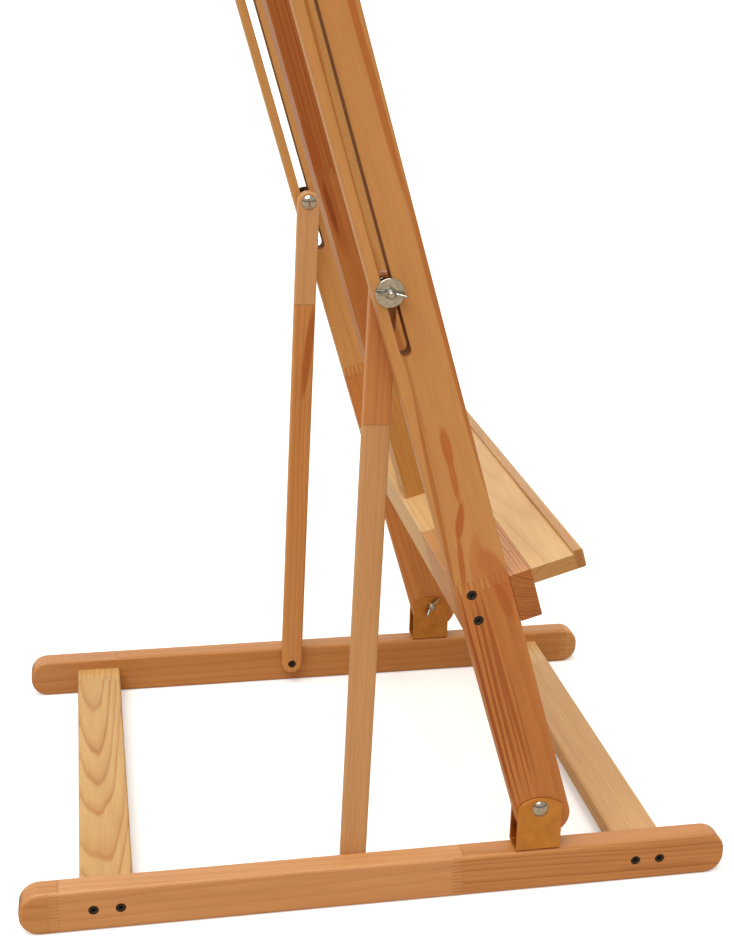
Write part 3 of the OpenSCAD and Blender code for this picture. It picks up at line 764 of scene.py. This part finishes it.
def slot_cutter(rear_face, low_x, high_x):
    """The slot's space: a rounded rectangle through the board, flared at both faces so that the mouth
    is rounded over."""
    rear = rear_face - slot_from_rear
    shape = rectangle((rear - slot_wide / 2, slot_low), (rear + slot_wide / 2, slot_high),
                      slot_wide / 2 - 0.02 * MM, 10)
    levels, insets = rounded_over(low_x, high_x, slot_edge, 4)
    levels = np.concatenate([[low_x - 2 * MM], levels, [high_x + 2 * MM]])
    insets = np.concatenate([[slot_edge], insets, [slot_edge]])
    return prism("cutter", shape, levels, -insets, pivot, FRAME)


def crossbar_screw_places(face_x):
    """The two countersunk screws at each end of both crossbars, on an upright's outer face."""
    places = []
    for low, high in crossbar_boxes.values():
        middle = (low + high) / 2
        for step in (-1, 1):
            places.append(in_frame(middle[0], middle[1] + step * (high[1] - low[1]) / 4, face_x))
    return places


upright_parts = {
    "left": ([dict(start=0, early="#cf8343", late="#8f4519", ring=9, pith=(-40, 60), lean=(0, 6), show=0.30),
              dict(start=0.252, early="#d4985b", late="#b0682c", ring=13, pith=(-16, 60), lean=(0, 14), show=0.30)],
             [((392, -1), (24, 5.2), -1, "#c06c2a", 0.95), ((364, 0), (34, 3.4), -2, "#c06c2a", 0.9),
              ((319, 4.5), (24, 4.2), -17, "#bb6528", 0.95), ((276, 13), (34, 3.6), -8, "#bb6528", 0.9),
              ((256, -15), (40, 13), 16, "#c26d36", 0.75), ((276, 0), (34, 7), -12, "#c67339", 0.55),
              ((350, 20.5), (120, 2.6), -3, "#b5682c", 0.8),
              ((790, -17.5), (240, 4.2), 1.5, "#b9682a", 0.85), ((560, 15), (190, 3.0), 0.6, "#a8652c", 0.5),
              ((480, -24.3), (170, 3.2), 0.3, "#b9682a", 0.75),
              ((130, 24), (150, 1.8), -0.5, "#9a4a18", 0.9), ((120, 18.5), (140, 1.5), -1.2, "#9e4c1a", 0.85),
              ((140, 13), (135, 2.2), -1.0, "#a5521e", 0.85), ((110, 7.5), (130, 1.4), -0.4, "#a5521e", 0.8),
              ((140, 4), (130, 2.6), 0.6, "#a5521e", 0.8), ((228, -16), (26, 7), 10, "#b05a22", 0.6),
              ((90, -2), (80, 1.2), 0.5, "#9c5220", 0.5)]),
    "right": ([dict(start=0, early="#d89050", late="#ae602a", ring=6, pith=(60, -20), lean=(4, 0), show=0.6),
               dict(start=0.33, early="#dca466", late="#bd7d40", ring=9, pith=(-20, -60), lean=(0, 10), show=0.45)],
              []),
}
upright_screws = []
for name, side in SIDES:
    low, high = corners_of(name + "_upright", pivot, FRAME)
    lath = prism(name + "_slotted_lath", rectangle(low[:2], high[:2], [upright_foot] * 2 + [upright_head] * 2, 9),
                 *rounded_over(low[2], high[2], upright_edge), pivot, FRAME)
    face_x = low[2] if side < 0 else high[2]
    places = crossbar_screw_places(face_x)
    carve(lath, [slot_cutter(high[0], low[2], high[2])] + [screw_seat(place, -side * X_AXIS) for place in places])
    for place in places:
        upright_screws += joint_screw(place, -side * X_AXIS, 50 * MM)
    parts, marks = upright_parts[name]
    middle = pivot + (low[0] + high[0]) / 2 * frame_rear + (low[2] + high[2]) / 2 * X_AXIS
    wood = pine(name + "_upright_varnished_pine", frame_up, frame_rear, middle, parts, 20 + side, marks,
                finger=(12, 5.2))
    complete(lath, wood, "frame", "pine", name + "_upright")
complete_set("crossbar_screw_set", upright_screws, black_oxide, "frame", "black_oxide", "crossbar_screws")


# ---------------------------------------------------------------- crossbars and mast
# Two square-cut rails between the uprights, screwed from outside. The mast stands between them and
# laps over their fronts: it is redder heartwood with a dark resin streak, and has screws into its
# ends from below and above.

rail_edge = 2.0 * MM
rail_parts = {
    "lower": [dict(start=0, early="#d59a62", late="#a9683a", ring=5.5, pith=(40, 10), lean=(4, 8), show=0.55),
              dict(start=-0.115, early="#e6bd85", late="#c08a4e", ring=7, pith=(20, 40), lean=(4, 8), show=0.4)],
    "upper": [dict(start=0, early="#d6a066", late="#b3743f", ring=6.5, pith=(-30, 30), lean=(4, 12), show=0.6)],
}
mast_low, mast_high = corners_of("mast", pivot, FRAME)
mast_screws = []
for end, (low, high) in crossbar_boxes.items():
    rail = prism(end + "_rail", rectangle(low[:2], high[:2], rail_edge), *rounded_over(low[2], high[2], 0.2 * MM, 1),
                 pivot, FRAME)
    way = -1 if end == "lower" else 1
    face = low[1] if end == "lower" else high[1]
    places = [in_frame((low[0] + mast_high[0]) / 2, face, step * (mast_high[2] - mast_low[2]) / 4)
              for step in (-1, 1)]
    carve(rail, [screw_seat(place, -way * frame_up) for place in places])
    for place in places:
        mast_screws += joint_screw(place, -way * frame_up, 79 * MM)
    wood = pine(end + "_crossbar_varnished_pine", X_AXIS, frame_up, middle_of(low, high), rail_parts[end], 30 + way)
    complete(rail, wood, "frame", "pine", end + "_crossbar")
complete_set("mast_screw_set", mast_screws, black_oxide, "frame", "black_oxide", "mast_screws")

lap_face = crossbar_boxes["lower"][0][0]
(_, lower_top, _), (_, upper_foot, _) = crossbar_boxes["lower"][1], crossbar_boxes["upper"][0]
side_view = outline([(mast_low[0], mast_low[1]), (lap_face, mast_low[1]), (lap_face, lower_top),
                     (mast_high[0], lower_top), (mast_high[0], upper_foot), (lap_face, upper_foot),
                     (lap_face, mast_high[1]), (mast_low[0], mast_high[1])],
                    np.array([2, 1, 0.4, 0.8, 0.8, 0.4, 1, 2]) * MM, 5)
mast = prism("lapped_mast", side_view, *rounded_over(mast_low[2], mast_high[2], 0.38 * MM, 3), pivot, FRAME)
middle = pivot + (mast_low[0] + mast_high[0]) / 2 * frame_rear
mast_parts = [dict(start=0, early="#d0964f", late="#a4622a", ring=3.6, pith=(-60, -10), lean=(6, 0), show=0.7),
              dict(start=0.39, early="#c07a3f", late="#9c4f20", ring=9, pith=(20, -45), lean=(6, 8), show=0.55),
              dict(start=0.612, early="#b96d34", late="#8a3c14", ring=4.6, pith=(-60, -8), lean=(4, 0), show=0.9)]
mast_marks = [((578, 18.5), (34, 3.2), 2, "#6f2c0e", 0.95), ((600, 18), (90, 8), 2, "#a4511f", 0.6),
              ((470, 14), (120, 6), -2, "#b5652f", 0.4), ((800, -17), (460, 9), 0, "#d09a5c", 0.95),
              ((760, -10), (400, 2.8), -0.3, "#bb7230", 0.8)]
wood = pine("mast_varnished_heart_pine", frame_up, frame_rear, middle, mast_parts, 41, mast_marks, finger=(5, 5))
complete(mast, wood, "frame", "pine_dark", "mast")


# ---------------------------------------------------------------- tray
# A square bar screwed to the front of the uprights carries a shelf with a raised lip. The bar is dark
# and fine-grained, the shelf pale, and the cut ends show their rings under a darker, thirsty varnish.

bar_edge = 1.0 * MM
lip_wide, lip_tall = 9.5 * MM, 3.6 * MM
bar_low, bar_high = corners_of("tray_bar", pivot, FRAME)
shelf_low, shelf_high = corners_of("tray_shelf", pivot, FRAME)
tray_bar = prism("tray_square_bar", rectangle(bar_low[:2], bar_high[:2], bar_edge),
                 *rounded_over(bar_low[2], bar_high[2], 0.5 * MM, 3), pivot, FRAME)
shelf_top = shelf_high[1] - lip_tall
tray_screw_heights = (10 * MM, 23 * MM)
shelf_screw_shares = (-0.36, -0.12, 0.12, 0.36)
tray_screw_places = []
for name, side in SIDES:
    low, high = corners_of(name + "_upright")
    for height in tray_screw_heights:
        tray_screw_places.append(in_frame(bar_low[0], bar_low[1] + height, (low[0] + high[0]) / 2))
shelf_screw_places = [in_frame(bar_high[0], (shelf_low[1] + shelf_top) / 2, share * (bar_high[2] - bar_low[2]))
                      for share in shelf_screw_shares]
carve(tray_bar, [screw_seat(place, frame_rear) for place in tray_screw_places]
      + [screw_seat(place, -frame_rear) for place in shelf_screw_places])
bar_parts = [dict(start=0, early="#d99a62", late="#7c3f16", ring=2.7, pith=(60, 30), lean=(0, 0), show=1.0)]
wood = pine("tray_bar_varnished_pine", X_AXIS, frame_up, middle_of(bar_low, bar_high), bar_parts, 51,
            end_grain_and_painted_light_tint="#dcbd98")
complete(tray_bar, wood, "frame", "pine_dark", "tray_bar")

lip_rear = shelf_low[0] + lip_wide
shelf_side = outline([(shelf_low[0], shelf_low[1]), (shelf_high[0], shelf_low[1]), (shelf_high[0], shelf_top),
                      (lip_rear, shelf_top), (lip_rear, shelf_high[1]), (shelf_low[0], shelf_high[1])],
                     np.array([2.0, 0.7, 0.7, 0.8, 1.2, 2.2]) * MM, 5)
shelf = prism("tray_lipped_shelf", shelf_side, *rounded_over(shelf_low[2], shelf_high[2], 0.5 * MM, 3), pivot, FRAME)
shelf_parts = [dict(start=0, early="#e2b87f", late="#bd8349", ring=6, pith=(-10, -60), lean=(10, 30), show=0.45)]
shelf_marks = [((0, -21), (600, 5), 0, "#a8663a", 0.45)]
wood = pine("tray_shelf_varnished_pine", X_AXIS, frame_rear, middle_of(shelf_low, shelf_high), shelf_parts, 53,
            shelf_marks, end_grain_and_painted_light_tint="#ddcdb8")
complete(shelf, wood, "frame", "pine", "tray_shelf")

tray_screws, shelf_screws = [], []
for place in tray_screw_places:
    tray_screws += joint_screw(place, frame_rear, 55 * MM)
for place in shelf_screw_places:
    shelf_screws += joint_screw(place, -frame_rear, 46 * MM)
complete_set("tray_screw_set", tray_screws, black_oxide, "frame", "black_oxide", "tray_screws")
complete_set("shelf_screw_set", shelf_screws, black_oxide, "frame", "black_oxide", "shelf_screws")


# ---------------------------------------------------------------- braces
# Slim pine bars with full-round ends between the runners and the slots. Each turns on a screw at its
# foot and carries a carriage bolt at its head. Both are finger-jointed above the middle.

brace_edge = 2.6 * MM
brace_parts = {
    "left": ([dict(start=0, early="#d49f6c", late="#b98050", ring=4.2, pith=(50, 10), lean=(3, 0), show=0.45),
              dict(start=0.456, early="#d48e52", late="#b5622f", ring=6, pith=(36, -8), lean=(3, 0), show=0.6)], []),
    "right": ([dict(start=0, early="#dc9a5c", late="#b8702f", ring=5, pith=(30, 8), lean=(3, 0), show=0.6),
               dict(start=0.462, early="#dfac7a", late="#c98f5c", ring=7, pith=(-20, 40), lean=(3, 6), show=0.4)],
              [((405, -5), (66, 5.5), -4, "#b4622a", 0.85)]),
}


def washer(name, seat, aim, outer, thick, around=48):
    """A stamped washer on a seat: flat, with rounded edges and a bore that clears the bolt."""
    bore, soft = bolt / 2 + 0.1 * MM, 0.3 * MM
    profile = [(bore + soft, 0, 0), (outer - soft, 0, 0), (outer, soft, 0), (outer, thick - soft, 0),
               (outer - soft, thick, 0), (bore + soft, thick, 0), (bore, thick - soft, 0), (bore, soft, 0)]
    return wheel(profile, seat, aim, around, closed=True, name=name)


foot_screws = []
for name, side in SIDES:
    foot = np.array(joints[name + "_brace_swing"]["pos_m"]) * (0, 1, 1)
    head = np.array(joints[name + "_slot_nut_turn"]["pos_m"]) * (0, 1, 1)
    brace_up = (head - foot) / np.linalg.norm(head - foot)
    brace_axes = (np.cross(brace_up, X_AXIS), brace_up, X_AXIS)
    low, high = corners_of(name + "_brace", foot, brace_axes)
    bar = prism(name + "_brace_bar", rectangle(low[:2], high[:2], (high[0] - low[0]) / 2 - 0.02 * MM, 12),
                *rounded_over(low[2], high[2], brace_edge), foot, brace_axes)
    inner_x = high[2] if side < 0 else low[2]
    place = foot + inner_x * X_AXIS
    carve(bar, [screw_seat(place, side * X_AXIS)])
    foot_screws += joint_screw(place, side * X_AXIS, 28 * MM)
    parts, marks = brace_parts[name]
    # the braces' pale end tint is painted light: their round ends are lit from above
    wood = pine(name + "_brace_varnished_pine", brace_up, brace_axes[0], foot + (low[2] + high[2]) / 2 * X_AXIS,
                parts, 60 + side, marks, finger=(0.1, 12), end_grain_and_painted_light_tint="#f2e2d0")
    complete(bar, wood, name + "_brace_arm", "pine_dark", name + "_brace")

    # the bolt in the slot, with a large washer outside, a spacer washer inside and a wing nut
    bolt_low, bolt_high = corners_of(name + "_slot_bolt")
    aim = side * X_AXIS
    tip_x = bolt_low[0] if side < 0 else bolt_high[0]
    shank = carriage_bolt(head + inner_x * X_AXIS, aim, abs(tip_x - inner_x), 16 * MM)
    complete_set(name + "_slot_carriage_bolt", shank, bright_zinc, name + "_brace_arm", "zinc", name + "_slot_bolt")
    for cad_node in (name + "_slot_washer", name + "_spacer_washer"):
        low, high = corners_of(cad_node)
        seat = np.array([low[0], (low[1] + high[1]) / 2, (low[2] + high[2]) / 2])
        ring = washer(cad_node + "_pressed", seat, X_AXIS, (high[1] - low[1]) / 2, high[0] - low[0], around=64)
        complete(ring, bright_zinc, name + "_brace_arm", "zinc", cad_node, crease=40)
    place_wing_nut(name + "_slot_wing_nut", aim, name + "_slot_nut")
complete_set("brace_foot_screw_set", foot_screws, black_oxide, "base", "black_oxide", "brace_screws")


# ---------------------------------------------------------------- canvas holder
# A block in front of the mast and a clamp behind it, pulled together by two carriage bolts with wing
# nuts. A lip screwed to the block hangs down in front of the canvas.

block_edge = 1.5 * MM
holder_washer_radius, holder_washer_thick = 9.0 * MM, 1.6 * MM
holder_parts = {
    "holder_block": ("holder_square_block", "pine", 71,
                     [dict(start=0, early="#d9a56a", late="#b57a43", ring=5, pith=(40, 30), lean=(6, 10), show=0.6)]),
    "holder_lip": ("holder_hanging_lip", "pine", 72,
                   [dict(start=0, early="#dba86e", late="#b8803f", ring=6, pith=(10, -40), lean=(8, 20), show=0.5)]),
    "holder_clamp": ("holder_rear_clamp", "pine_dark", 73,
                     [dict(start=0, early="#c98a4f", late="#9c5a2a", ring=4, pith=(-40, 20), lean=(6, 10), show=0.7)]),
}
holder_boxes = {cad_node: corners_of(cad_node, pivot, FRAME) for cad_node in holder_parts}
block_low, block_high = holder_boxes["holder_block"]
bolt_x = abs(joints["left_holder_nut_turn"]["pos_m"][0])
bolt_height = (block_low[1] + block_high[1]) / 2
lip_screws, holder_bolts, holder_washers = [], [], []
for cad_node, (label, slot_name, seed, parts) in holder_parts.items():
    low, high = holder_boxes[cad_node]
    piece = prism(label, rectangle(low[:2], high[:2], block_edge), *rounded_over(low[2], high[2], block_edge, 4),
                  pivot, FRAME)
    if cad_node == "holder_lip":
        tools = []
        for side in (-1, 1):
            place = in_frame(low[0], bolt_height, side * 0.4 * (high[2] - low[2]))
            tools.append(screw_seat(place, frame_rear))
            lip_screws += joint_screw(place, frame_rear, 25 * MM)
            mouth = dome_wide / 2 + 0.5 * MM
            tools.append(round_hole(in_frame(low[0], bolt_height, side * bolt_x), frame_rear,
                                    [(mouth, -2 * MM), (mouth, high[0] - low[0] + 2 * MM)], 48))
        carve(piece, tools)
    wood = pine(label + "_varnished_pine", X_AXIS, frame_up, middle_of(low, high), parts, seed)
    complete(piece, wood, "holder", slot_name, cad_node)
clamp_rear = holder_boxes["holder_clamp"][1][0]
bolt_span = corners_of("holder_bolts", pivot, FRAME)
for name, side in SIDES:
    seat = in_frame(block_low[0], bolt_height, side * bolt_x)
    holder_bolts += carriage_bolt(seat, frame_rear, bolt_span[1][0] - block_low[0], 22 * MM)
    seat = in_frame(clamp_rear, bolt_height, side * bolt_x)
    holder_washers.append(washer("washer", seat, frame_rear, holder_washer_radius, holder_washer_thick))
    place_wing_nut(name + "_holder_wing_nut", frame_rear, name + "_holder_nut")
complete_set("holder_lip_screw_set", lip_screws, black_oxide, "holder", "black_oxide", "holder_lip_screws")
complete_set("holder_bolt_set", holder_bolts, bright_zinc, "holder", "zinc", "holder_bolts")
complete_set("holder_washer_set", holder_washers, bright_zinc, "holder", "zinc", "holder_washers")
